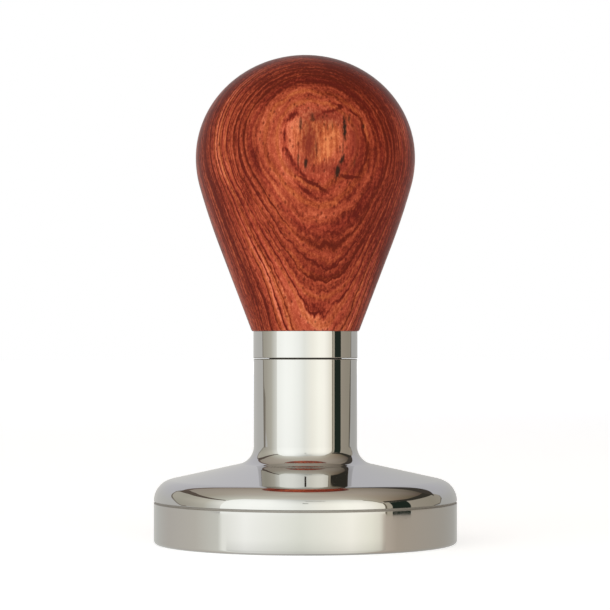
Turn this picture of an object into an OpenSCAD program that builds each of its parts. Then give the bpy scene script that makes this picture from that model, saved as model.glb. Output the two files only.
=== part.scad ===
// Espresso tamper: a turned wooden knob that screws onto a polished steel foot.
// Millimetres, +Z up, with the origin at the centre of the flat tamping face.

/* [Foot] */
// Diameter of the rim that enters the filter basket
foot_d = 58; // [57:0.1:59]
// Radius that breaks the bottom edge of the rim
rim_edge_r = 0.7; // [0.4:0.1:1.5]
// Height of the top edge of the straight rim wall
rim_h = 7.75; // [6:0.05:9]
// Width of the fine line turned between the rim and the shoulder
line_w = 0.45; // [0.3:0.05:0.8]
// Depth of that line
line_depth = 0.12; // [0.08:0.01:0.2]
// Radius of the rounded shoulder
shoulder_r = 4.1; // [3:0.1:5]
// Slope of the dome, in degrees from level
dome_slope = 12.5; // [10:0.5:15]
// Radius of the hollow that carries the dome up into the neck
neck_hollow_r = 3.55; // [2:0.05:5]
// Diameter of the neck
neck_d = 19.8; // [18:0.1:22]
// Height of the top of the neck
neck_top = 35.25; // [32:0.05:38]

/* [Screw joint] */
// Nominal diameter of the screw thread
thread_d = 8; // [6:1:8]
// Radial play of the stud in the foot
thread_play = 0.05; // [0.02:0.01:0.1]
// Length of the stud
stud_l = 30; // [26:1:32]
// Length of the stud below the top of the neck
stud_depth = 12; // [10:1:14]
// Hexagon socket across its flats
socket_af = 4; // [3:0.5:4]
// Depth of the hexagon socket
socket_depth = 5; // [3:0.5:6]
// Outer diameter of the washer that is sunk in the top of the neck
washer_d = 14; // [12:0.5:16]
// Thickness of the washer
washer_t = 1; // [0.6:0.1:1.5]
// How far the washer stands proud, which leaves a fine seam under the ferrule
seam_h = 0.15; // [0.05:0.05:0.4]

/* [Ferrule] */
// Diameter of the ferrule
ferrule_d = 19.95; // [19:0.05:22]
// Height of the ferrule
ferrule_h = 5.15; // [4:0.05:7]
// Thickness of the ferrule's floor
ferrule_floor = 1.1; // [0.8:0.1:1.5]
// Diameter of the wooden tenon that fills the ferrule
tenon_d = 16; // [15:0.5:16.5]

/* [Insert] */
// Length of the brass insert above its flange
insert_l = 18; // [15:1:20]
// Diameter of the insert at the roots of its barbs
insert_d = 11; // [10:0.5:12]
// Height of each barb on the radius
barb_h = 0.5; // [0.3:0.1:0.8]
// Number of barbs
barbs = 6; // [4:1:8]
// Diameter of the flange that seats on the tenon
flange_d = 13; // [12.6:0.2:14]
// Thickness of the flange
flange_t = 1.2; // [0.8:0.1:1.5]

/* [Knob] */
// Greatest diameter of the knob
knob_d = 42.1; // [40:0.1:46]
// Height of the greatest diameter above the top of the ferrule
belly_h = 33.25; // [30:0.05:34]
// Height of the crown above the greatest diameter
crown_h = 19.7; // [16:0.1:22]
// Radius of the outline just below the greatest diameter
belly_r = 20.6; // [18:0.1:24]
// Slope at which the belly runs into the waist, in degrees from upright
belly_slope = 15.8; // [14:0.1:17]
// Radius of the long, slack curve of the waist
waist_r = 136; // [100:1:170]
// Slope of the straight taper to the ferrule, in degrees from upright
taper_slope = 20.9; // [19:0.1:21.5]
// Radius that breaks the knob's bottom edge
knob_edge_r = 0.35; // [0.2:0.05:0.6]

/* [Hidden] */
$fn = 128;

steel = [0.80, 0.79, 0.76];
dark_rubber = [0.06, 0.06, 0.06];
plated_steel = [0.62, 0.62, 0.62];
brass = [0.78, 0.60, 0.28];
wood = [0.62, 0.25, 0.14];

foot_r = foot_d / 2;
neck_r = neck_d / 2;
thread_r = thread_d / 2;
// Bevels on the turned edges of the seam, at the tapped hole's mouth and on the stud's ends
seam_bevel = 0.12;
mouth_bevel = 0.5;
stud_bevel = 0.9;
// Room round the stud in the ferrule and the washer, and round the washer in its recess
stud_room = 0.4;
washer_room = 0.1;
// Room below the stud in the foot, and above the stud and the insert in the knob
end_room = 1.2;
// The tenon stops short of the ferrule's floor by the thickness of the glue
glue_gap = 0.1;
// Half the point angle of a twist drill
drill_half_angle = 59;

ferrule_bottom = neck_top + seam_h;
ferrule_top = ferrule_bottom + ferrule_h;
floor_top = ferrule_bottom + ferrule_floor;
tenon_bottom = floor_top + glue_gap;
flange_top = tenon_bottom + flange_t;
insert_top = flange_top + insert_l;
stud_bottom = neck_top - stud_depth;
stud_top = stud_bottom + stud_l;
washer_bottom = ferrule_bottom - washer_t;

// Points on an arc about centre c, from angle a to angle b in degrees, ends included
function arc(c, r, a, b, steps) =
    [for (i = [0:steps]) let (t = a + (b - a) * i / steps) c + r * [cos(t), sin(t)]];

// Points on a quarter ellipse, from its level axis up to the pole
function quarter_ellipse(c, a, b, steps) =
    [for (i = [0:steps]) let (t = 90 * i / steps) c + [a * cos(t), b * sin(t)]];

// Blind hole that runs down from the origin and ends in the cone of a drill
module drilled_hole(r, depth) {
    point_h = r / tan(drill_half_angle);
    translate([0, 0, -depth]) cylinder(r = r, h = depth);
    translate([0, 0, -depth - point_h]) cylinder(r1 = 0, r2 = r, h = point_h);
}

module foot_solid() {
    shoulder_c = [foot_r - shoulder_r, rim_h + line_w];
    normal = [sin(dome_slope), cos(dome_slope)];
    dome_start = shoulder_c + shoulder_r * normal;
    // The hollow touches both the dome's straight slope and the neck
    hollow_x = neck_r + neck_hollow_r;
    run = (dome_start.x + neck_hollow_r * normal.x - hollow_x) / normal.y;
    hollow_c = dome_start + neck_hollow_r * normal + run * [-normal.y, normal.x];
    // The fine line is a shallow arc between the rim's edge and the shoulder's edge
    half_w = line_w / 2;
    line_r = (half_w * half_w + line_depth * line_depth) / (2 * line_depth);
    line_c = [foot_r - line_depth + line_r, rim_h + half_w];
    line_sweep = asin(half_w / line_r);
    rotate_extrude() polygon(concat(
        [[0, 0]],
        arc([foot_r - rim_edge_r, rim_edge_r], rim_edge_r, -90, 0, 8),
        arc(line_c, line_r, 180 + line_sweep, 180 - line_sweep, 6),
        arc(shoulder_c, shoulder_r, 4, 90 - dome_slope, 22),
        arc(hollow_c, neck_hollow_r, 270 - dome_slope, 180, 20),
        [[neck_r, neck_top - seam_bevel], [neck_r - seam_bevel, neck_top], [0, neck_top]]
    ));
}

module foot() {
    hole_r = thread_r + thread_play;
    color(steel) difference() {
        foot_solid();
        translate([0, 0, neck_top]) drilled_hole(hole_r, stud_depth + end_room);
        translate([0, 0, washer_bottom]) cylinder(d = washer_d + 2 * washer_room, h = washer_t);
        translate([0, 0, washer_bottom - mouth_bevel])
            cylinder(r1 = hole_r, r2 = hole_r + mouth_bevel, h = mouth_bevel);
    }
}

module joint_washer() {
    color(dark_rubber) translate([0, 0, washer_bottom]) difference() {
        cylinder(d = washer_d, h = washer_t);
        translate([0, 0, -1]) cylinder(r = thread_r + stud_room, h = washer_t + 2);
    }
}

// Headless screw: its socket faces down, so that it can be driven home in the handle
module stud() {
    color(plated_steel) difference() {
        rotate_extrude() polygon([
            [0, stud_bottom], [thread_r - stud_bevel, stud_bottom],
            [thread_r, stud_bottom + stud_bevel], [thread_r, stud_top - stud_bevel],
            [thread_r - stud_bevel, stud_top], [0, stud_top]
        ]);
        translate([0, 0, stud_bottom - 1])
            cylinder(r = socket_af / 2 / cos(30), h = socket_depth + 1, $fn = 6);
    }
}

// Outline shared by the insert and by the hole that it is pressed into
module insert_outline() {
    pitch = insert_l / barbs;
    insert_r = insert_d / 2;
    // Each barb leans from its tip, a fifth of the pitch up, to its root at nine tenths
    barb_points = [for (i = [0:barbs - 1])
        each [[insert_r + barb_h, flange_top + pitch * (i + 0.2)], [insert_r, flange_top + pitch * (i + 0.9)]]];
    rotate_extrude() polygon(concat(
        [[0, tenon_bottom], [flange_d / 2, tenon_bottom], [flange_d / 2, flange_top], [insert_r, flange_top]],
        barb_points,
        [[insert_r, insert_top], [0, insert_top]]
    ));
}

module threaded_insert() {
    color(brass) difference() {
        insert_outline();
        translate([0, 0, tenon_bottom - 1]) cylinder(r = thread_r, h = insert_top - tenon_bottom + 2);
    }
}

module ferrule() {
    r = ferrule_d / 2;
    color(steel) difference() {
        rotate_extrude() polygon([
            [0, ferrule_bottom], [r - seam_bevel, ferrule_bottom], [r, ferrule_bottom + seam_bevel],
            [r, ferrule_top], [0, ferrule_top]
        ]);
        translate([0, 0, floor_top]) cylinder(d = tenon_d, h = ferrule_h);
        translate([0, 0, ferrule_bottom - 1]) cylinder(r = thread_r + stud_room, h = ferrule_h);
    }
}

module knob_solid() {
    tenon_r = tenon_d / 2;
    belly_z = ferrule_top + belly_h;
    belly_c = [knob_d / 2 - belly_r, belly_z];
    belly_normal = [cos(belly_slope), -sin(belly_slope)];
    waist_c = belly_c + (belly_r - waist_r) * belly_normal;
    taper_normal = [cos(taper_slope), -sin(taper_slope)];
    taper_top = waist_c + waist_r * taper_normal;
    // The taper ends in a small arc that is tangent to it and to the flat underside
    edge_z = ferrule_top + knob_edge_r;
    edge_touch_z = edge_z + knob_edge_r * taper_normal.y;
    edge_touch_x = taper_top.x - (taper_top.y - edge_touch_z) * tan(taper_slope);
    edge_c = [edge_touch_x - knob_edge_r * taper_normal.x, edge_z];
    rotate_extrude() polygon(concat(
        [[0, tenon_bottom], [tenon_r, tenon_bottom], [tenon_r, ferrule_top]],
        arc(edge_c, knob_edge_r, -90, -taper_slope, 6),
        arc(waist_c, waist_r, -taper_slope, -belly_slope, 12),
        arc(belly_c, belly_r, -belly_slope, -2, 8),
        quarter_ellipse([0, belly_z], knob_d / 2, crown_h, 36)
    ));
}

module knob() {
    color(wood) difference() {
        knob_solid();
        insert_outline();
        translate([0, 0, insert_top]) mirror([0, 0, 1])
            drilled_hole(insert_d / 2, max(stud_top - insert_top, 0) + end_room);
    }
}

foot();
joint_washer();
stud();
threaded_insert();
ferrule();
knob();
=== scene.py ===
"""Looks of the espresso tamper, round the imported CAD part: turned wood, polished steel, a real thread.

The outlines are in millimetres in the part's frame, and become metres when a mesh is made.
"""

import math

import bmesh
import bpy
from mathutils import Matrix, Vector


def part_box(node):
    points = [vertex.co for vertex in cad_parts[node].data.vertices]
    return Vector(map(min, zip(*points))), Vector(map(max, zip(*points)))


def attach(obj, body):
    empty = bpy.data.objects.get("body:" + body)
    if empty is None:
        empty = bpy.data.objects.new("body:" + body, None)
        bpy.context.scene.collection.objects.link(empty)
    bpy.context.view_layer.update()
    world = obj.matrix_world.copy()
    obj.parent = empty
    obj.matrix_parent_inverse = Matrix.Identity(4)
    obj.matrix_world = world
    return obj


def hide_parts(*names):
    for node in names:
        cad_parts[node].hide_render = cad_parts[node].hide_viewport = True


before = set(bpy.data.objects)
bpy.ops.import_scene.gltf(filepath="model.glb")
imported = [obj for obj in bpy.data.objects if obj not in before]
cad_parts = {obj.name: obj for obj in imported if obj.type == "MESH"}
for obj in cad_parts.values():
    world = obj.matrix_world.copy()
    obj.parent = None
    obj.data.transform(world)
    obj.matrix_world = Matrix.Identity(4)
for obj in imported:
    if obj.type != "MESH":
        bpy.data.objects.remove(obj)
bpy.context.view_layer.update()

MM = 0.001
SEGMENTS = 192
WASHER_SEGMENTS = 96
STUD_SEGMENTS = 72

# ---- sizes from the CAD part, in millimetres -------------------------------------------------


def radius_of(node):
    """Outer radius of a turned node, that stays inside its box on every side."""
    low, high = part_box(node)
    return min(high.x, high.y, -low.x, -low.y) / MM


def bottom_of(node):
    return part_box(node)[0].z / MM


def top_of(node):
    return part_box(node)[1].z / MM


FOOT_R = radius_of("foot")
NECK_TOP = top_of("foot")
FERRULE_R = radius_of("ferrule")
FERRULE_BOTTOM = bottom_of("ferrule")
FERRULE_TOP = top_of("ferrule")
TENON_BOTTOM = bottom_of("knob")
CROWN_Z = top_of("knob")
KNOB_R = radius_of("knob")
WASHER_R = radius_of("joint_washer")
WASHER_BOTTOM = bottom_of("joint_washer")
STUD_R = radius_of("stud")
STUD_BOTTOM = bottom_of("stud")
STUD_TOP = top_of("stud")
INSERT_TOP = top_of("threaded_insert")
FLANGE_R = radius_of("threaded_insert")

# ---- sizes of the turned details, in millimetres ---------------------------------------------

RIM_EDGE_R = 0.7
RIM_H = 7.75
LINE_W = 0.45
LINE_DEPTH = 0.12
SHOULDER_R = 4.1
DOME_SLOPE = 12.5
HOLLOW_R = 3.55
NECK_R = 9.9
SEAM_EDGE_R = 0.14
SMALL_BREAK = 0.15
WASHER_ROOM = 0.1
WASHER_EDGE_R = 0.2
HOLE_MOUTH = 0.5
END_ROOM = 1.2
HOLE_BOTTOM = STUD_BOTTOM - END_ROOM
HOLE_POINT = 2.4

PITCH = 1.25
THREAD_HEIGHT = 0.767
THREAD_PLAY = 0.05
NUT_CREST_R = 3.4
THREAD_ROWS = 10
STUD_BEVEL = 0.9
SOCKET_FLATS = 4.0
SOCKET_DEPTH = 5.0
SOCKET_POINT = 0.6

FERRULE_FLOOR = 1.1
FERRULE_HOLE_R = 4.4
FERRULE_TOP_EDGE_R = 0.06
TENON_R = 8.0
INSERT_BORE_R = 5.5
INSERT_BORE_POINT = 3.3
FLANGE_T = 1.2

BELLY_Z = FERRULE_TOP + 33.25
BELLY_R = 20.6
BELLY_SLOPE = 15.8
WAIST_R = 136.0
TAPER_SLOPE = 20.9
KNOB_EDGE_R = 0.35

# ---- small tools -------------------------------------------------------------------------------


def mixed(a, b, share):
    return tuple(p + (q - p) * share for p, q in zip(a, b))


def progress(value, start, end):
    """How far a value is from start to end, held between 0 and 1."""
    return min(max((value - start) / (end - start), 0), 1)


def along(points, where):
    """Values at a place in a list of (place, value, ...), in straight steps."""
    if where <= points[0][0]:
        return points[0][1:]
    for before, after in zip(points, points[1:]):
        if where <= after[0]:
            share = (where - before[0]) / (after[0] - before[0])
            return mixed(before[1:], after[1:], share)
    return points[-1][1:]


def placed(name, data):
    """A new object in the scene."""
    made = bpy.data.objects.new(name, data)
    bpy.context.scene.collection.objects.link(made)
    return made


# ---- turned meshes -----------------------------------------------------------------------------

# A step longer than this is a straight stretch of an outline, and gets guard points this far from its ends
STRAIGHT_MIN = 0.4
GUARD = 0.1
# Points closer than this are one point
SAME_POINT = 1e-6
# Bends of more than this many degrees are shaded as edges
SHARP_ANGLE = 35


def arc(centre, radius, start, end, steps):
    """Points on an arc from angle start to angle end, in degrees, ends included."""
    angles = [math.radians(start + (end - start) * i / steps) for i in range(steps + 1)]
    return [(centre[0] + radius * math.cos(a), centre[1] + radius * math.sin(a)) for a in angles]


def straight(a, b):
    """Two points just inside the ends of a straight run, so that smooth shading stays flat between them."""
    share = GUARD / math.dist(a, b)
    return [mixed(a, b, share), mixed(a, b, 1 - share)]


def joined(*runs):
    """One outline from several runs, with the guard points of a straight stretch between them."""
    outline = list(runs[0])
    for run in runs[1:]:
        gap = math.dist(outline[-1], run[0])
        if gap > STRAIGHT_MIN:
            outline += straight(outline[-1], run[0])
        outline += run[1:] if gap < SAME_POINT else run
    return outline


def ring_of_verts(bm, radius, height, segments):
    """A ring at a height, where the radius can be a function of the angle. On the axis it is one point."""
    if radius == 0:
        return [bm.verts.new((0, 0, height * MM))] * segments
    ring = []
    for i in range(segments):
        angle = 2 * math.pi * i / segments
        r = (radius(angle) if callable(radius) else radius) * MM
        ring.append(bm.verts.new((r * math.cos(angle), r * math.sin(angle), height * MM)))
    return ring


def bridge(bm, low, high):
    """Faces between two rings. They are triangles where a ring is one point."""
    for i in range(len(low)):
        j = (i + 1) % len(low)
        corners = []
        for vert in (low[i], low[j], high[j], high[i]):
            if vert not in corners:
                corners.append(vert)
        bm.faces.new(corners)


def lathe(name, outline, body, materials, closed=False, segments=SEGMENTS):
    """Turns an outline of (radius, height) about Z, as a piece that rides on a body."""
    bm = bmesh.new()
    rings = [ring_of_verts(bm, radius, height, segments) for radius, height in outline]
    for low, high in zip(rings, rings[1:]):
        bridge(bm, low, high)
    if closed:
        bridge(bm, rings[-1], rings[0])
    mesh = bpy.data.meshes.new(name)
    bm.to_mesh(mesh)
    bm.free()
    mesh.shade_smooth()
    mesh.set_sharp_from_angle(angle=math.radians(SHARP_ANGLE))
    for material in materials:
        mesh.materials.append(material)
    piece = placed(name, mesh)
    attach(piece, body)
    return piece


# ---- the screw thread --------------------------------------------------------------------------

# Where a flank of the thread starts and ends, in pitches from the middle of the crest
FLANK_ROOT = 3 / 8
FLANK_CREST = 1 / 16


def stud_thread_r(angle, height):
    """Radius of the right-hand male thread at an angle and a height."""
    phase = (height / PITCH - angle / (2 * math.pi)) % 1
    rise = progress(abs(phase - 0.5), FLANK_ROOT, FLANK_CREST)
    return STUD_R - THREAD_HEIGHT * (1 - rise)


def thread_rows(bottom, top):
    count = math.ceil((top - bottom) / PITCH * THREAD_ROWS)
    return [bottom + (top - bottom) * i / count for i in range(count + 1)]


def stud_outline():
    def socket(angle):
        sector = math.degrees(angle) % 60
        return SOCKET_FLATS / 2 / math.cos(math.radians(sector - 30))

    def body(height):
        end = min(height - STUD_BOTTOM, STUD_TOP - height)
        limit = STUD_R - STUD_BEVEL + end
        return lambda angle: min(stud_thread_r(angle, height), limit)

    socket_top = STUD_BOTTOM + SOCKET_DEPTH
    return [
        (0, socket_top + SOCKET_POINT),
        (socket, socket_top),
        (socket, STUD_BOTTOM + SMALL_BREAK),
        (lambda angle: socket(angle) + SMALL_BREAK, STUD_BOTTOM),
        *[(body(z), z) for z in thread_rows(STUD_BOTTOM, STUD_TOP)],
        (0, STUD_TOP),
    ]


# ---- outlines ----------------------------------------------------------------------------------


def foot_outline():
    shoulder_c = (FOOT_R - SHOULDER_R, RIM_H + LINE_W)
    slope = math.radians(DOME_SLOPE)
    normal = (math.sin(slope), math.cos(slope))
    dome = tuple(c + SHOULDER_R * n for c, n in zip(shoulder_c, normal))
    run = (dome[0] + HOLLOW_R * normal[0] - NECK_R - HOLLOW_R) / normal[1]
    hollow_c = (NECK_R + HOLLOW_R, dome[1] + HOLLOW_R * normal[1] + run * normal[0])
    half_w = LINE_W / 2
    line_r = (half_w**2 + LINE_DEPTH**2) / (2 * LINE_DEPTH)
    line_c = (FOOT_R - LINE_DEPTH + line_r, RIM_H + half_w)
    sweep = math.degrees(math.asin(half_w / line_r))
    recess_r = WASHER_R + WASHER_ROOM
    hole_r = STUD_R + THREAD_PLAY

    def tapped(height):
        return lambda angle: max(stud_thread_r(angle, height) + THREAD_PLAY, NUT_CREST_R)

    rows = thread_rows(HOLE_BOTTOM, WASHER_BOTTOM - HOLE_MOUTH)
    return joined(
        [(0, 0)],
        arc((FOOT_R - RIM_EDGE_R, RIM_EDGE_R), RIM_EDGE_R, -90, 0, 12),
        arc(line_c, line_r, 180 + sweep, 180 - sweep, 8),
        arc(shoulder_c, SHOULDER_R, 1, 90 - DOME_SLOPE, 40),
        arc(hollow_c, HOLLOW_R, 270 - DOME_SLOPE, 180, 40),
        arc((NECK_R - SEAM_EDGE_R, NECK_TOP - SEAM_EDGE_R), SEAM_EDGE_R, 0, 90, 6),
        arc((recess_r + SMALL_BREAK, NECK_TOP - SMALL_BREAK), SMALL_BREAK, 90, 180, 3),
        [(recess_r, WASHER_BOTTOM), (hole_r + HOLE_MOUTH, WASHER_BOTTOM)],
    ) + [(tapped(z), z) for z in reversed(rows)] + [(0, HOLE_BOTTOM - HOLE_POINT)]


def ferrule_outline():
    floor_top = FERRULE_BOTTOM + FERRULE_FLOOR
    edge = FERRULE_TOP_EDGE_R
    return joined(
        [(FERRULE_HOLE_R, FERRULE_BOTTOM + SMALL_BREAK), (FERRULE_HOLE_R + SMALL_BREAK, FERRULE_BOTTOM)],
        arc((FERRULE_R - SEAM_EDGE_R, FERRULE_BOTTOM + SEAM_EDGE_R), SEAM_EDGE_R, -90, 0, 6),
        arc((FERRULE_R - edge, FERRULE_TOP - edge), edge, 0, 90, 3),
        [(TENON_R, FERRULE_TOP)],
        [(TENON_R, floor_top)],
        [(FERRULE_HOLE_R, floor_top)],
    )


def washer_outline():
    low, high = WASHER_BOTTOM, FERRULE_BOTTOM
    inner, edge = FERRULE_HOLE_R, WASHER_EDGE_R
    return joined(
        arc((inner + edge, low + edge), edge, 180, 270, 4),
        arc((WASHER_R - edge, low + edge), edge, 270, 360, 4),
        arc((WASHER_R - edge, high - edge), edge, 0, 90, 4),
        arc((inner + edge, high - edge), edge, 90, 180, 4),
    )


def knob_outline():
    belly_c = (KNOB_R - BELLY_R, BELLY_Z)
    belly = math.radians(BELLY_SLOPE)
    taper = math.radians(TAPER_SLOPE)
    to_waist = BELLY_R - WAIST_R
    waist_c = (belly_c[0] + to_waist * math.cos(belly), BELLY_Z - to_waist * math.sin(belly))
    taper_top = (waist_c[0] + WAIST_R * math.cos(taper), waist_c[1] - WAIST_R * math.sin(taper))
    edge_z = FERRULE_TOP + KNOB_EDGE_R
    touch_z = edge_z - KNOB_EDGE_R * math.sin(taper)
    touch_r = taper_top[0] - (taper_top[1] - touch_z) * math.tan(taper)
    edge_c = (touch_r - KNOB_EDGE_R * math.cos(taper), edge_z)
    crown_h = CROWN_Z - BELLY_Z
    quarter = [math.radians(90 * i / 60) for i in range(1, 60)]
    crown = [(KNOB_R * math.cos(a), BELLY_Z + crown_h * math.sin(a)) for a in quarter]
    bore_top = INSERT_TOP + END_ROOM
    return joined(
        [(0, bore_top + INSERT_BORE_POINT), (INSERT_BORE_R, bore_top)],
        [(INSERT_BORE_R, TENON_BOTTOM + FLANGE_T), (FLANGE_R, TENON_BOTTOM + FLANGE_T)],
        [(FLANGE_R, TENON_BOTTOM), (TENON_R, TENON_BOTTOM)],
        [(TENON_R, FERRULE_TOP)],
        arc(edge_c, KNOB_EDGE_R, -90, -TAPER_SLOPE, 6),
        arc(waist_c, WAIST_R, -TAPER_SLOPE, -BELLY_SLOPE, 24),
        arc(belly_c, BELLY_R, -BELLY_SLOPE, 0, 20),
        crown,
        [(0, CROWN_Z)],
    )


# ---- material graphs ---------------------------------------------------------------------------


class Graph:
    """A material's node tree, with short ways to add to it."""

    def __init__(self, name):
        self.material = bpy.data.materials.new(name)
        self.material.use_nodes = True
        self.tree = self.material.node_tree
        self.shader = self.tree.nodes["Principled BSDF"]

    def add(self, kind, sockets=None, **settings):
        node = self.tree.nodes.new(kind)
        for key, value in settings.items():
            setattr(node, key, value)
        for key, value in (sockets or {}).items():
            self.put(node.inputs[key], value)
        return node

    def put(self, socket, value):
        if isinstance(value, bpy.types.NodeSocket):
            self.tree.links.new(value, socket)
        else:
            socket.default_value = value

    def maths(self, operation, *values):
        node = self.add("ShaderNodeMath", operation=operation)
        for socket, value in zip(node.inputs, values):
            self.put(socket, value)
        return node.outputs[0]

    def total(self, *values):
        result = values[0]
        for value in values[1:]:
            result = self.maths("ADD", result, value)
        return result

    def stretch(self, vector, scale):
        node = self.add("ShaderNodeVectorMath", operation="MULTIPLY")
        self.put(node.inputs[0], vector)
        node.inputs[1].default_value = scale
        return node.outputs[0]

    def noise(self, vector, detail=2.0, roughness=0.5, dims="3D", value=None):
        sockets = {"Scale": 1.0, "Detail": detail, "Roughness": roughness}
        node = self.add("ShaderNodeTexNoise", sockets, noise_dimensions=dims)
        if vector is not None:
            self.put(node.inputs["Vector"], vector)
        if value is not None:
            self.put(node.inputs["W"], value)
        return node.outputs["Fac"]

    def swing(self, vector, reach, **noise):
        """Noise about zero, that mostly stays within plus and minus reach."""
        centred = self.maths("SUBTRACT", self.noise(vector, **noise), 0.5)
        return self.maths("MULTIPLY", centred, 4 * reach)

    def warped(self, vector, scale, reach):
        """The vector, pushed about by up to about half of the reach."""
        sockets = {"Scale": 1.0, "Detail": 2.0, "Vector": self.stretch(vector, scale)}
        push = self.add("ShaderNodeTexNoise", sockets)
        steps = {0: push.outputs["Color"], 1: (reach,) * 3, 2: (-reach / 2,) * 3}
        shift = self.add("ShaderNodeVectorMath", steps, operation="MULTIPLY_ADD").outputs[0]
        return self.add("ShaderNodeVectorMath", {0: vector, 1: shift}, operation="ADD").outputs[0]

    def span(self, value, low, high, to_low=0.0, to_high=1.0):
        """Maps low to high onto to_low to to_high, and holds still beyond them."""
        sockets = {"Value": value, "From Min": low, "From Max": high, "To Min": to_low, "To Max": to_high}
        return self.add("ShaderNodeMapRange", sockets, clamp=True).outputs["Result"]

    def ramp(self, value, stops):
        """Colour ramp from stops of (place, colour), where a colour can be one grey number."""
        node = self.add("ShaderNodeValToRGB")
        elements = node.color_ramp.elements
        while len(elements) < len(stops):
            elements.new(1.0)
        for element, (place, colour) in zip(elements, stops):
            element.position = place
            element.color = (*colour, 1) if isinstance(colour, tuple) else (colour, colour, colour, 1)
        self.put(node.inputs["Fac"], value)
        return node.outputs["Color"]

    def mix(self, share, a, b, blend="MIX"):
        node = self.add("ShaderNodeMix", data_type="RGBA", blend_type=blend, clamp_factor=True)
        for index, value in ((0, share), (6, a), (7, b)):
            self.put(node.inputs[index], (*value, 1) if isinstance(value, tuple) else value)
        return node.outputs[2]

    def surface(self, colour, roughness):
        self.put(self.shader.inputs["Base Color"], colour)
        self.put(self.shader.inputs["Roughness"], roughness)

    def bump(self, height, distance, strength):
        node = self.add("ShaderNodeBump", {"Strength": strength, "Distance": distance})
        self.put(node.inputs["Height"], height)
        self.put(self.shader.inputs["Normal"], node.outputs["Normal"])


def millimetres(graph):
    """The object's own coordinates, in millimetres."""
    coordinates = graph.add("ShaderNodeTexCoord").outputs["Object"]
    return graph.stretch(coordinates, (1 / MM, 1 / MM, 1 / MM))


# ---- steel, brass and rubber -------------------------------------------------------------------

STEEL = (0.64, 0.635, 0.62)
# Colour of the darker rim's line, and of the painted shade in the seam between the foot and the ferrule
DARK_LINE_AND_SEAM_SHADE = (0.16, 0.13, 0.1)
# The darkening in the rim's line lies this much below its middle
DARK_LINE_DROP = 0.04


def polished_steel():
    """Mirror-polished stainless steel with a faint haze, darker and rougher in the rim's line, and with
    painted shade in a band round the seam.
    """
    g = Graph("polished_steel")
    p = millimetres(g)
    axes = g.add("ShaderNodeSeparateXYZ", {0: p})
    z = axes.outputs["Z"]
    haze = g.noise(g.stretch(p, (0.12, 0.12, 0.2)), detail=4)
    scuffs = g.noise(g.stretch(p, (0.9, 0.9, 6.0)), detail=3, roughness=0.7)
    from_line = g.maths("ABSOLUTE", g.maths("SUBTRACT", z, RIM_H + LINE_W / 2 - DARK_LINE_DROP))
    from_seam = g.maths("ABSOLUTE", g.maths("SUBTRACT", z, (NECK_TOP + FERRULE_BOTTOM) / 2))
    in_line = g.span(from_line, 0.14, 0.3, 0.55, 0.0)
    # Painted shade: a dark band round the seam between the foot and the ferrule
    seam_shade = g.span(from_seam, 0.13, 0.22, 0.85, 0.0)
    line_dark_and_seam_shade = g.maths("MAXIMUM", in_line, seam_shade)
    roughness = g.total(g.span(haze, 0.35, 0.7, 0.015, 0.035), g.span(scuffs, 0.62, 0.8, 0, 0.04), line_dark_and_seam_shade)
    clean = g.mix(haze, STEEL, tuple(0.97 * c for c in STEEL))
    g.surface(g.mix(line_dark_and_seam_shade, clean, DARK_LINE_AND_SEAM_SHADE), roughness)
    g.shader.inputs["Metallic"].default_value = 1.0
    return g.material


def turned_steel():
    """Finely turned stainless steel of the tamping face."""
    g = Graph("turned_steel")
    p = millimetres(g)
    rings = g.noise(g.stretch(p, (0.05, 0.05, 9.0)), detail=3, roughness=0.7)
    haze = g.noise(g.stretch(p, (0.15, 0.15, 0.4)), detail=4)
    colour = g.mix(rings, STEEL, tuple(0.92 * c for c in STEEL))
    g.surface(colour, g.total(g.span(rings, 0.3, 0.7, 0.08, 0.14), g.span(haze, 0.4, 0.8, 0, 0.04)))
    g.shader.inputs["Metallic"].default_value = 1.0
    return g.material


def plated_steel():
    """Zinc-plated steel of the stud, with blotches of darker, duller plating."""
    g = Graph("plated_steel")
    p = millimetres(g)
    blotches = g.noise(g.stretch(p, (0.8, 0.8, 0.8)), detail=4)
    colour = g.ramp(blotches, [(0.35, (0.5, 0.5, 0.48)), (0.7, (0.62, 0.62, 0.61))])
    g.surface(colour, g.span(blotches, 0.3, 0.7, 0.38, 0.22))
    g.shader.inputs["Metallic"].default_value = 1.0
    return g.material


def brass():
    g = Graph("insert_brass")
    p = millimetres(g)
    tarnish = g.noise(g.stretch(p, (0.5, 0.5, 0.5)), detail=4)
    colour = g.ramp(tarnish, [(0.35, (0.6, 0.4, 0.16)), (0.65, (0.8, 0.6, 0.28))])
    g.surface(colour, g.span(tarnish, 0.3, 0.7, 0.4, 0.25))
    g.shader.inputs["Metallic"].default_value = 1.0
    return g.material


def rubber():
    g = Graph("washer_rubber")
    p = millimetres(g)
    grain = g.noise(g.stretch(p, (4, 4, 4)), detail=3)
    colour = g.ramp(grain, [(0.3, (0.016, 0.016, 0.017)), (0.7, (0.035, 0.034, 0.033))])
    g.surface(colour, g.span(grain, 0.3, 0.7, 0.65, 0.85))
    g.bump(grain, 0.00002, 0.6)
    return g.material


# ---- wood --------------------------------------------------------------------------------------

# Growth layers, as (depth in the stack in millimetres, how light). The deepest of them lie to the front.
RING_LOW = 8.0
RING_HIGH = 22.0
FRONT_RINGS = [
    (8.2, 0.35), (8.9, 0.2), (9.3, 0.5), (10.1, 0.62), (10.25, 0.1), (10.4, 0.5), (11.05, 0.95),
    (11.2, 0.3), (11.35, 0.7), (11.8, 0.88), (11.95, 0.2), (12.1, 0.6), (13.43, 0.72), (13.55, 0.0),
    (13.63, 0.52), (14.1, 0.7), (14.2, 0.35), (14.3, 0.55), (14.63, 0.66), (14.72, 0.0), (14.81, 0.44),
    (15.42, 0.64), (15.5, 0.15), (15.59, 0.48), (16.2, 0.6), (16.45, 0.25), (16.65, 0.48),
    (17.4, 0.42), (18.4, 0.68), (19.4, 0.66), (21.5, 0.72),
]

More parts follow.
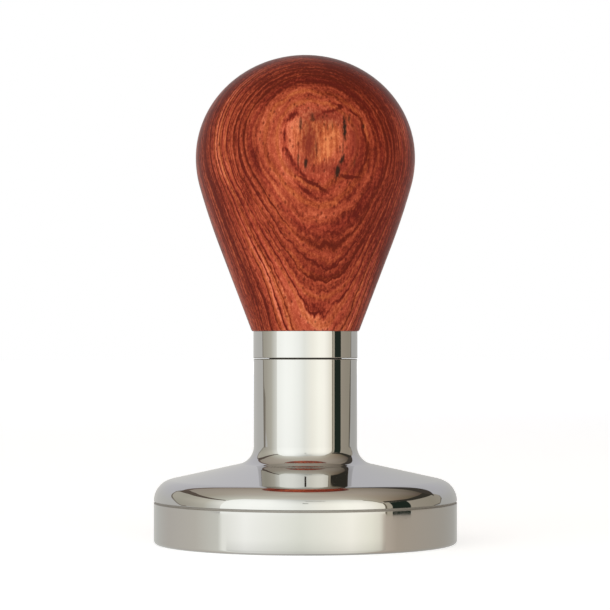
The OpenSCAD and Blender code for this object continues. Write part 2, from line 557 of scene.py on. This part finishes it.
# Dark resin streaks of the front, as (x, z, half width, half length, lean in radians, strength)
STREAKS = [
    (7.2, 77.8, 0.38, 2.2, -0.05, 1.0), (6.7, 71.9, 0.34, 1.0, 0.35, 0.95), (5.9, 69.8, 0.4, 1.3, 0.2, 1.0),
    (-0.9, 78.4, 0.26, 1.1, 0.05, 0.8), (1.3, 79.6, 0.36, 0.8, 0.0, 0.7), (0.0, 71.1, 0.32, 1.0, 0.15, 0.95),
    (-1.3, 72.1, 0.2, 1.1, 0.0, 0.75), (5.0, 78.1, 0.15, 0.6, 0.0, 0.6), (10.7, 78.2, 0.2, 0.5, 0.0, 0.7),
    (2.0, 73.6, 0.24, 2.0, 0.0, 0.45), (8.1, 79.8, 0.2, 0.7, 0.1, 0.65), (6.9, 74.3, 0.16, 1.6, 0.05, 0.55),
    (4.1, 77.8, 0.12, 0.6, 0.0, 0.5), (9.0, 71.4, 0.15, 1.0, 0.1, 0.5),
]

# The outline of the pale patch, broken into short curved lines like the streaks
OUTLINE = [
    (1.35, 67.5, 0.24, 2.2, -1.06, 0.85), (-2.5, 80.0, 0.3, 1.5, 0.68, 0.8),
    (-3.85, 76.6, 0.22, 2.1, 0.05, 0.75), (-2.6, 72.1, 0.25, 2.3, -0.46, 0.8),
    (-0.9, 69.6, 0.28, 1.1, -0.65, 0.6), (7.9, 68.8, 0.25, 1.5, 1.57, 0.65),
    (10.6, 77.6, 0.2, 2.4, -0.22, 0.6), (11.3, 73.6, 0.22, 2.0, 0.12, 0.55),
    (10.5, 70.4, 0.22, 1.5, 0.55, 0.5), (4.4, 81.0, 0.22, 2.2, 1.2, 0.6),
    (6.4, 82.0, 0.35, 0.35, 0.0, 0.8), (8.6, 81.2, 0.2, 1.6, -0.95, 0.5),
    (0.3, 66.0, 0.3, 2.0, -0.9, 0.5),
]

# Redder bands across the patch
BANDS = [
    (0.6, 75.0, 1.3, 4.4, 0.0, 0.9), (9.2, 75.4, 0.9, 3.6, -0.05, 0.7), (3.2, 79.9, 4.0, 1.3, 0.1, 0.75),
    (5.0, 70.4, 3.0, 1.1, 0.0, 0.6), (-2.6, 71.0, 0.9, 1.4, -0.4, 0.5),
]

# Colour of the wood by its lightness, and of its dark parts
WOOD_COLOURS = [
    (0.0, (0.12, 0.012, 0.006)),
    (0.25, (0.235, 0.031, 0.014)),
    (0.5, (0.39, 0.067, 0.029)),
    (0.75, (0.53, 0.112, 0.05)),
    (1.0, (0.72, 0.2, 0.095)),
]
BAND_COLOUR = (0.19, 0.021, 0.013)
STREAK_COLOUR = (0.035, 0.014, 0.008)
PORE_COLOUR = (0.1, 0.012, 0.006)
MIDDLE_TONE = 0.55


def streak(g, p, x, z, half_width, half_length, lean):
    """How far a point is from the middle of a streak on the front, where 1 is about its edge."""
    place = g.add("ShaderNodeMapping", {
        "Location": (x, -KNOB_R, z),
        "Rotation": (0, lean, 0),
        "Scale": (half_width, KNOB_R / 2, half_length),
    }, vector_type="TEXTURE")
    g.put(place.inputs["Vector"], p)
    return g.add("ShaderNodeVectorMath", {0: place.outputs[0]}, operation="LENGTH").outputs["Value"]


def streaks(g, p, spots, ragged, soft):
    """How much of a point is covered by any of the streaks."""
    cover = None
    for *place, strength in spots:
        distance = g.maths("ADD", streak(g, p, *place), ragged)
        one = g.span(distance, 1 - soft, 1 + soft, strength, 0.0)
        cover = one if cover is None else g.maths("MAXIMUM", cover, one)
    return cover


def wood_depth(g, p, x, y, height):
    """Depth of a point in the stack of layers, which leans and curves a little."""
    lean = g.total(g.maths("MULTIPLY", x, 0.13), g.maths("MULTIPLY", height, 0.0745))
    curve = g.maths("MULTIPLY", g.maths("POWER", height, 2.0), 0.00425)
    twist = g.maths("MULTIPLY", g.maths("MULTIPLY", x, height), -0.0045)
    wander = g.swing(g.stretch(p, (0.11, 0.11, 0.05)), 0.3, detail=1.0)
    waves = g.swing(g.stretch(p, (0.45, 0.45, 0.09)), 0.17, detail=2.0)
    fibres = g.swing(g.stretch(p, (1.7, 1.7, 0.2)), 0.08, detail=2.0, roughness=0.6)
    return g.total(g.maths("MULTIPLY", y, -1.0), lean, curve, twist, wander, waves, fibres)


def wood_layers(g, p, x, depth):
    """Light and dark layers: the drawn ones in front, and chance ones elsewhere."""
    front = g.ramp(
        g.span(depth, RING_LOW, RING_HIGH),
        [((place - RING_LOW) / (RING_HIGH - RING_LOW), tone) for place, tone in FRONT_RINGS],
    )
    chance = g.noise(None, detail=4.0, roughness=0.75, dims="1D", value=g.maths("MULTIPLY", depth, 0.8))
    tone = g.mix(g.span(depth, 8.0, 10.0), g.span(chance, 0.3, 0.72, 0.0, 0.8), front)
    fading = g.span(g.noise(g.stretch(p, (0.13, 0.13, 0.06)), detail=1.0), 0.42, 0.62, 0.0, 0.6)
    fading = g.maths("MAXIMUM", fading, g.span(x, 6.0, 14.0, 0.0, 0.45))
    return g.mix(fading, tone, (MIDDLE_TONE,) * 3)


def wood_figure(g, p, x, z, depth, threads):
    """The layers with stripes and mottling over them, about zero."""
    tone = wood_layers(g, p, x, depth)
    sheet = g.add("ShaderNodeCombineXYZ", {0: x, 1: g.maths("MULTIPLY", depth, 14.0), 2: z})
    stripes = g.swing(g.stretch(sheet.outputs[0], (0.16, 0.16, 0.08)), 0.2, detail=3.0, roughness=0.65)
    mottle = g.swing(g.stretch(p, (1.9, 1.9, 1.3)), 0.14, detail=2.0, roughness=0.7)
    clouds = g.swing(g.stretch(p, (0.16, 0.16, 0.1)), 0.1, detail=1.0)
    return g.total(tone, stripes, threads, mottle, clouds, -MIDDLE_TONE)


def wood_lightness(g, p, x, y, height, depth, figure, patch):
    """The figure, with the pale patch, with painted shade that darkens the right side and the crown towards
    the front and the left side a little, and painted light on the lower taper.
    """
    grain = g.swing(g.stretch(p, (5.0, 5.0, 3.0)), 0.1, detail=1.0)
    shade_to_front = g.span(y, 2.0, -8.0, 0.25, 1.0)
    fine = g.noise(None, detail=2.0, dims="1D", value=g.maths("MULTIPLY", depth, 2.2))
    outer_left = g.maths("MULTIPLY", g.span(x, -1.0, -6.0), g.span(depth, 17.6, 16.4))
    return g.total(
        g.maths("MULTIPLY", figure, 1.45),
        grain,
        # Painted shade: the right side and the crown darker, towards the front
        g.maths("MULTIPLY", g.span(x, -2.0, 15.0, 0.0, -0.34), shade_to_front),
        g.maths("MULTIPLY", g.span(height, 7.0, 17.0, 0.0, -0.38), shade_to_front),
        # Painted shade: the left side a little darker
        g.span(x, -5.0, -15.0, 0.0, -0.08),
        # Dark fine layers at the outer left, part of the figure
        g.maths("MULTIPLY", g.span(fine, 0.55, 0.68, 0.0, -0.45), outer_left),
        # Painted light: the lower taper a little lighter
        g.span(height, -20.0, -27.0, 0.0, 0.06),
        g.maths("MULTIPLY", patch, 0.23),
        MIDDLE_TONE - 0.1,
    )


def wood_colour(g, p, warped, lightness, depth, ragged):
    """Colour by lightness, tinted by layer, with the redder bands and the dark streaks of the front."""
    colour = g.ramp(lightness, WOOD_COLOURS)
    hue = g.noise(None, detail=2.0, dims="1D", value=g.maths("MULTIPLY", depth, 1.3))
    tint = g.ramp(hue, [(0.36, (1.0, 0.9, 0.99)), (0.5, (1.0, 1.0, 1.0)), (0.64, (1.0, 1.09, 0.88))])
    colour = g.mix(1.0, colour, tint, blend="MULTIPLY")
    colour = g.mix(streaks(g, warped, BANDS, ragged, 0.8), colour, BAND_COLOUR)
    return g.mix(streaks(g, p, STREAKS, ragged, 0.5), colour, STREAK_COLOUR)


def pores(g, p):
    """Short dark dashes along the fibres."""
    cells = g.add("ShaderNodeTexVoronoi", {"Scale": 1.0, "Randomness": 1.0}, feature="F1")
    g.put(cells.inputs["Vector"], g.stretch(p, (1.15, 1.15, 0.6)))
    return g.span(cells.outputs["Distance"], 0.12, 0.3, 1.0, 0.0)


def wood():
    """Bubinga: layers that lie nearly across the view, fibres along Z, dark pores and an oiled surface."""
    g = Graph("knob_wood")
    p = millimetres(g)
    x, y, z = g.add("ShaderNodeSeparateXYZ", {0: p}).outputs
    height = g.maths("SUBTRACT", z, BELLY_Z)
    depth = wood_depth(g, p, x, y, height)
    patch = g.span(depth, 19.8, 20.6)
    threads = g.swing(g.stretch(p, (2.4, 2.4, 0.25)), 0.1, detail=2.0)
    threads = g.maths("MULTIPLY", threads, g.maths("MULTIPLY_ADD", patch, 1.0, 1.0))
    figure = wood_figure(g, p, x, z, depth, threads)
    lightness = wood_lightness(g, p, x, y, height, depth, figure, patch)
    ragged = g.swing(g.stretch(p, (3.0, 3.0, 1.1)), 0.5, detail=2.0)
    warped = g.warped(p, (0.5, 0.5, 0.3), 1.4)
    outline = streaks(g, warped, OUTLINE, ragged, 0.9)
    lightness = g.maths("SUBTRACT", lightness, g.maths("MULTIPLY", outline, 1.15))
    colour = wood_colour(g, p, warped, lightness, depth, ragged)
    pore = pores(g, p)
    colour = g.mix(g.maths("MULTIPLY", pore, 0.7), colour, PORE_COLOUR)
    g.surface(colour, g.total(g.span(lightness, 0.0, 1.0, 0.5, 0.42), g.maths("MULTIPLY", pore, 0.2)))
    g.shader.inputs["Specular IOR Level"].default_value = 0.06
    g.shader.inputs["Sheen Weight"].default_value = 0.3
    g.shader.inputs["Sheen Roughness"].default_value = 0.25
    relief = g.total(g.maths("MULTIPLY", pore, -1.0), g.maths("MULTIPLY", threads, 0.5))
    g.bump(relief, 0.00003, 0.7)
    return g.material


# ---- the pieces --------------------------------------------------------------------------------

# Faces of the foot up to this height, in metres, are its tamping face
FACE_TOLERANCE = 0.01 * MM

mirror = polished_steel()
satin = turned_steel()

foot = lathe("foot_turned", foot_outline(), "foot_body", [mirror, satin])
for face in foot.data.polygons:
    if face.center.z < FACE_TOLERANCE:
        face.material_index = 1
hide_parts("foot")

ferrule = lathe("ferrule_turned", ferrule_outline(), "handle_body", [mirror], closed=True)
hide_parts("ferrule")

washer = lathe(
    "washer_moulded", washer_outline(), "washer_body", [rubber()],
    closed=True, segments=WASHER_SEGMENTS,
)
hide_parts("joint_washer")

stud = lathe(
    "stud_threaded", stud_outline(), "handle_body", [plated_steel()],
    segments=STUD_SEGMENTS,
)
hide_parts("stud")

knob = lathe("knob_turned", knob_outline(), "handle_body", [wood()])
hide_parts("knob")

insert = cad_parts["threaded_insert"]
insert.data.materials.clear()
insert.data.materials.append(brass())

# ---- studio ------------------------------------------------------------------------------------

# The tamper stands in a light tent: a softbox in front, grey-brown walls at the sides and above, and a
# pale backdrop behind. Directions are azimuths from the camera, positive to the right, and elevations, in
# degrees. Lines and small things hang just inside the panels. Radii and heights are in metres.
PANEL_R = 1.4
LINE_R = 1.38
BACKDROP_R = 3
TENT_Z = 0.02

# Colours of the panels by azimuth, and of the backdrop by elevation
SOFTBOX = [
    (-66, 1.35, 1.38, 1.33), (-45, 1.47, 1.50, 1.46), (-30, 1.45, 1.48, 1.43), (-15, 1.35, 1.38, 1.33),
    (-2, 1.21, 1.23, 1.16), (15, 1.35, 1.33, 1.21), (30, 1.49, 1.48, 1.35), (42, 1.48, 1.45, 1.33),
    (50, 1.34, 1.31, 1.19), (61, 1.10, 1.05, 0.90),
]
LEFT_WALL = [
    (-135, 0.48, 0.45, 0.39), (-112, 0.47, 0.45, 0.38), (-97, 0.53, 0.50, 0.43), (-82, 0.63, 0.61, 0.53),
    (-74, 0.80, 0.80, 0.74), (-66, 1.0, 1.0, 0.94),
]
RIGHT_WALL = [
    (62, 0.54, 0.49, 0.39), (90, 0.44, 0.39, 0.32), (112, 0.40, 0.36, 0.29), (130, 0.44, 0.40, 0.34),
]
CEILING_HIGH = [
    (-180, 0.42, 0.35, 0.27), (-150, 0.50, 0.44, 0.37), (-112, 0.56, 0.50, 0.42), (-82, 0.60, 0.54, 0.47),
    (-37, 0.65, 0.62, 0.53), (7, 0.61, 0.56, 0.48), (37, 0.59, 0.53, 0.44), (67, 0.55, 0.48, 0.39),
    (97, 0.50, 0.43, 0.36), (127, 0.46, 0.40, 0.33), (180, 0.42, 0.35, 0.27),
]
CEILING_LOW = [
    (-180, 0.36, 0.29, 0.23), (-127, 0.46, 0.41, 0.35), (-97, 0.51, 0.46, 0.38), (-82, 0.61, 0.58, 0.50),
    (-67, 0.74, 0.73, 0.64), (-52, 0.87, 0.86, 0.77), (-22, 0.88, 0.87, 0.79), (7, 0.76, 0.71, 0.61),
    (37, 0.77, 0.72, 0.61), (52, 0.60, 0.55, 0.45), (67, 0.47, 0.40, 0.31), (82, 0.38, 0.31, 0.24),
    (97, 0.31, 0.26, 0.20), (112, 0.27, 0.22, 0.18), (127, 0.20, 0.17, 0.13), (180, 0.36, 0.29, 0.23),
]
TABLE = [
    (-180, 0.62, 0.62, 0.60), (-150, 0.60, 0.60, 0.57), (-125, 0.60, 0.57, 0.53), (-90, 0.68, 0.65, 0.59),
    (-67, 0.83, 0.83, 0.77), (-65, 1.12, 1.13, 1.07), (-45, 1.36, 1.37, 1.33), (-3, 1.12, 1.14, 1.04),
    (34, 1.39, 1.36, 1.24), (50, 1.20, 1.18, 1.03), (57, 1.06, 1.02, 0.89), (61, 0.66, 0.58, 0.49),
    (72, 0.54, 0.47, 0.39), (125, 0.49, 0.46, 0.41), (150, 0.49, 0.48, 0.45), (180, 0.60, 0.60, 0.58),
]
BACKDROP = [
    (-10, 0.57, 0.56, 0.54), (5, 0.59, 0.585, 0.565), (25, 0.62, 0.615, 0.65), (90, 0.62, 0.615, 0.65),
]

# The ceiling's colour goes from the low table at the first elevation to the high one at the second, and the
# same trend goes on below them, up to this share of the step
CEILING_LOW_AT = 44
CEILING_HIGH_AT = 66
CEILING_TREND = 0.7

# Factors by elevation: the softbox's fade at its left and at its right, and between which azimuths one
# turns into the other; the left wall's; the table's painted contact shadow near the tamper, up to an azimuth
# to both sides; and how much the backdrop loses from left to right
SOFTBOX_FADE_LEFT = [
    (-3, 0.92), (-1, 0.98), (6, 0.98), (14, 1.0), (32, 0.99), (38, 0.95), (44, 0.85), (52, 0.64),
]
SOFTBOX_FADE_RIGHT = [
    (-3, 0.92), (-1, 0.98), (6, 0.98), (22, 0.98), (30, 0.90), (38, 0.78), (44, 0.64), (50, 0.53),
]
FADE_FROM = -30
FADE_TO = 0
LEFT_WALL_GLOW = [(5, 1.0), (20, 1.18), (28, 1.15)]
# Painted contact shadow on the table's glow near the tamper, out to this azimuth on either side
CONTACT_SHADOW = [(-5.7, 0.74), (-5.45, 0.86), (-5.2, 0.97), (-4.5, 1.0)]
CONTACT_SHADOW_WIDEST = 62
BACKDROP_SLANT = [(0, 0.095), (25, 0.04)]

# The table's inner edges, as elevations, and the edges of the panels, as (azimuth, elevation)
TABLE_NEAR = -5.2
TABLE_FAR = -5.7
HORIZON = [(-85, -4.25), (-66, -4.4), (62, -4.4), (64, -4.46), (85, -4.46), (88, -4.25)]
SOFTBOX_TOP = [
    (-66, 30), (-64, 36), (-56, 43), (-40, 46), (-18, 49), (10, 48), (35, 46), (50, 39), (57, 31), (61, 20),
]
LEFT_TOP = [(-137, 29), (-134, 33), (-118, 35.5), (-97, 34), (-81, 32), (-66, 31)]
LEFT_LOW = [
    (-137, 28.5), (-132, 21), (-127, 16), (-118, 10), (-109, 1), (-106, -1.5), (-92, -2.4), (-86, -4.25),
]
RIGHT_TOP = [(62, 23), (90, 22.5), (101, 24.5), (122, 27), (127, 25), (129, 19)]
RIGHT_LOW = [(62, -4.5), (110, -4.25), (115, -1.8), (121, 0), (124, 7.5), (127.5, 12), (129, 18)]
BACK_TOP_LEFT = [(-180, 45), (-161, 45), (-149, 42), (-143, 38), (-134, 33)]
BACK_TOP_RIGHT = [(122, 28), (127, 33), (135, 38), (143, 41.5), (150, 43), (180, 45)]

# Dark colours of the edges, seams and frames
SEAM = (0.05, 0.045, 0.035)
LEFT_SEAM = (0.14, 0.11, 0.09)
LEFT_EDGE = (0.27, 0.24, 0.2)
BACK_EDGE_LEFT = (0.2, 0.15, 0.13)
BACK_EDGE_RIGHT = (0.07, 0.06, 0.05)
RIGHT_EDGE = (0.16, 0.14, 0.11)
FLAG = (0.02, 0.03, 0.022)
FRAME = (0.2, 0.17, 0.12)


def glow_material():
    """Emission whose colour is stored on the panel's own mesh."""
    g = Graph("studio_glow")
    light = g.add("ShaderNodeEmission")
    stored = g.add("ShaderNodeVertexColor", layer_name="glow")
    g.put(light.inputs["Color"], stored.outputs["Color"])
    g.put(g.tree.nodes["Material Output"].inputs["Surface"], light.outputs[0])
    return g.material


GLOW = glow_material()


def tent_point(azimuth, elevation, radius):
    a, e = math.radians(azimuth), math.radians(elevation)
    return (
        radius * math.sin(a) * math.cos(e),
        -radius * math.cos(a) * math.cos(e),
        radius * math.sin(e) + TENT_Z,
    )


def panel(name, start, end, low, high, glow, radius=PANEL_R):
    """A curved panel round the tamper from azimuth start to end, which only reflections and light can see.

    low and high are (azimuth, elevation) outlines of its lower and upper edges, and glow gives its colour.
    """
    columns = math.ceil((end - start) / 2)
    azimuths = [start + (end - start) * i / columns for i in range(columns + 1)]
    edges = [(along(low, azimuth)[0], along(high, azimuth)[0]) for azimuth in azimuths]
    rows = math.ceil(max(top - bottom for bottom, top in edges) / 4)
    places, colours = [], []
    for azimuth, (bottom, top) in zip(azimuths, edges):
        for j in range(rows + 1):
            elevation = bottom + (top - bottom) * j / rows
            places.append(tent_point(azimuth, elevation, radius))
            colours.append(glow(azimuth, elevation))
    n = rows + 1
    faces = [(k, k + n, k + n + 1, k + 1) for i in range(columns) for k in range(i * n, i * n + rows)]
    mesh = bpy.data.meshes.new(name)
    mesh.from_pydata(places, [], faces)
    stored = mesh.color_attributes.new("glow", "FLOAT_COLOR", "POINT")
    for datum, colour in zip(stored.data, colours):
        datum.color = (*colour, 1)
    mesh.materials.append(GLOW)
    made = placed(name, mesh)
    made.visible_camera = False


def line(name, start, end, outline, thickness, colour):
    """A thin line along an outline, in front of the panels. thickness is its height at start and at end."""
    def edge(side):
        points = []
        for azimuth, elevation in outline:
            width = thickness[0] + (thickness[1] - thickness[0]) * progress(azimuth, start, end)
            points.append((azimuth, elevation + side * width / 2))
        return points

    panel(name, start, end, edge(-1), edge(1), plain(colour), radius=LINE_R)


def flat(elevation):
    return [(0, elevation)]


def shifted(outline, by):
    return [(azimuth, elevation + by) for azimuth, elevation in outline]


def dimmed(colour, factor):
    return tuple(c * factor for c in colour)


def plain(colour):
    return lambda azimuth, elevation: colour


def tinted(table, dim=((0, 1),)):
    """Glow that follows a table by azimuth, and a factor by elevation."""
    return lambda azimuth, elevation: dimmed(along(table, azimuth), along(dim, elevation)[0])


def table_glow(azimuth, elevation):
    """Painted contact shadow: the table darkens at the tamper, in front of the softbox only."""
    factor = along(CONTACT_SHADOW, elevation)[0] if abs(azimuth) < CONTACT_SHADOW_WIDEST else 1
    return dimmed(along(TABLE, azimuth), factor)


def backdrop_glow(azimuth, elevation):
    """Paler to the left than to the right."""
    slant = along(BACKDROP_SLANT, elevation)[0]
    return dimmed(along(BACKDROP, elevation), 1 - slant * math.sin(math.radians(azimuth / 2)))


def ceiling_glow(azimuth, elevation):
    """Bright beside the softbox and dark towards the right wall, and more even overhead."""
    share = (elevation - CEILING_LOW_AT) / (CEILING_HIGH_AT - CEILING_LOW_AT)
    share = min(max(share, -CEILING_TREND), 1)
    return mixed(along(CEILING_LOW, azimuth), along(CEILING_HIGH, azimuth), share)


def softbox_glow(azimuth, elevation):
    """The softbox fades towards its top edge, from lower down on its right side."""
    left = along(SOFTBOX_FADE_LEFT, elevation)
    right = along(SOFTBOX_FADE_RIGHT, elevation)
    factor = mixed(left, right, progress(azimuth, FADE_FROM, FADE_TO))[0]
    return dimmed(along(SOFTBOX, azimuth), factor)


def tent_panels():
    over = [*BACK_TOP_LEFT, *LEFT_TOP[1:], *SOFTBOX_TOP, *RIGHT_TOP[:4], *BACK_TOP_RIGHT]
    panel("backdrop", -180, 180, flat(-90), flat(90), backdrop_glow, radius=BACKDROP_R)
    panel("ceiling", -180, 180, over, flat(90), ceiling_glow)
    panel("softbox", -66, 62, HORIZON, SOFTBOX_TOP, softbox_glow)
    panel("left_wall", -137, -66, LEFT_LOW, LEFT_TOP, tinted(LEFT_WALL, LEFT_WALL_GLOW))
    panel("right_wall", 62, 129, RIGHT_LOW, RIGHT_TOP, tinted(RIGHT_WALL))
    panel("table_near", -180, 180, flat(TABLE_NEAR), HORIZON, table_glow)
    panel("table_edge", -180, 180, flat(TABLE_FAR), flat(TABLE_NEAR), table_glow)
    panel("table_far", -180, 180, flat(-60), flat(TABLE_FAR), table_glow)


def tent_lines():
    line("left_seam", -137, -68, LEFT_TOP, (8.0, 2.5), LEFT_SEAM)
    line("left_edge", -137, -100, LEFT_LOW, (3.0, 2.0), LEFT_EDGE)
    line("back_edge_left", -180, -134, BACK_TOP_LEFT, (3.0, 6.0), BACK_EDGE_LEFT)
    line("right_seam", 64, 124, shifted(RIGHT_TOP, 2.0), (5.0, 10.0), SEAM)
    line("right_edge", 112, 129, RIGHT_LOW, (1.5, 3.0), RIGHT_EDGE)
    line("back_edge_right", 122, 180, BACK_TOP_RIGHT, (16.0, 4.0), BACK_EDGE_RIGHT)


def tent_fittings():
    """A black flag beside the softbox, the softbox's frame, and the camera's stand in front of it."""
    low, high = shifted(SOFTBOX_TOP, -2), shifted(SOFTBOX_TOP, 0.5)
    panel("flag", 67.6, 85, HORIZON, flat(21.5), plain(FLAG), radius=LINE_R)
    panel("softbox_frame", 61.2, 62.8, HORIZON, flat(20), plain(FRAME), radius=LINE_R)
    panel("softbox_corner", 50, 62, low, high, plain(FRAME), radius=LINE_R)
    panel("camera_arm", -2.2, 2.2, flat(27.5), flat(29.5), plain(SEAM), radius=LINE_R)
    panel("camera_plate", 0, 17, flat(39.2), flat(40.2), plain(SEAM), radius=LINE_R)


tent_panels()
tent_lines()
tent_fittings()

# ---- floor, world and camera -------------------------------------------------------------------

# Sizes and places in metres, the tilt in degrees from straight down, and the lens and sensor in millimetres
FLOOR_HALF = 6.0
FLOOR_GAP = 0.02 * MM
CAMERA_AT = (-0.00008, -0.4597, 0.03735)
CAMERA_TILT = 91.025
LENS = 141.4
SENSOR = 36


def floor():
    """A plain pale floor. Reflections look past it, to the table's panels that go on below."""
    g = Graph("studio_floor")
    p = g.add("ShaderNodeTexCoord").outputs["Object"]
    grain = g.noise(g.stretch(p, (400, 400, 400)), detail=2)
    g.surface(g.ramp(grain, [(0.3, (0.8, 0.82, 0.87)), (0.7, (0.82, 0.84, 0.89))]), 0.9)
    g.shader.inputs["Emission Color"].default_value = (1, 1, 1, 1)
    g.shader.inputs["Emission Strength"].default_value = 0.55
    mesh = bpy.data.meshes.new("floor")
    corners = [(x * FLOOR_HALF, y * FLOOR_HALF) for x, y in ((-1, -1), (1, -1), (1, 1), (-1, 1))]
    mesh.from_pydata([(x, y, -FLOOR_GAP) for x, y in corners], [], [(0, 1, 2, 3)])
    mesh.materials.append(g.material)
    made = placed("floor", mesh)
    made.visible_glossy = False


def white_world():
    world = bpy.data.worlds.new("backdrop")
    world.use_nodes = True
    background = world.node_tree.nodes["Background"]
    background.inputs["Color"].default_value = (1, 1, 1, 1)
    background.inputs["Strength"].default_value = 1.0
    bpy.context.scene.world = world


def camera():
    """Nearly level, a little below the middle of the tamper, through a long lens."""
    data = bpy.data.cameras.new("camera")
    data.sensor_width = SENSOR
    data.lens = LENS
    data.clip_start, data.clip_end = 0.01, 50
    made = placed("camera", data)
    made.location = CAMERA_AT
    made.rotation_euler = (math.radians(CAMERA_TILT), 0, 0)
    bpy.context.scene.camera = made


floor()
white_world()
camera()
bpy.context.scene.view_settings.view_transform = "Standard"
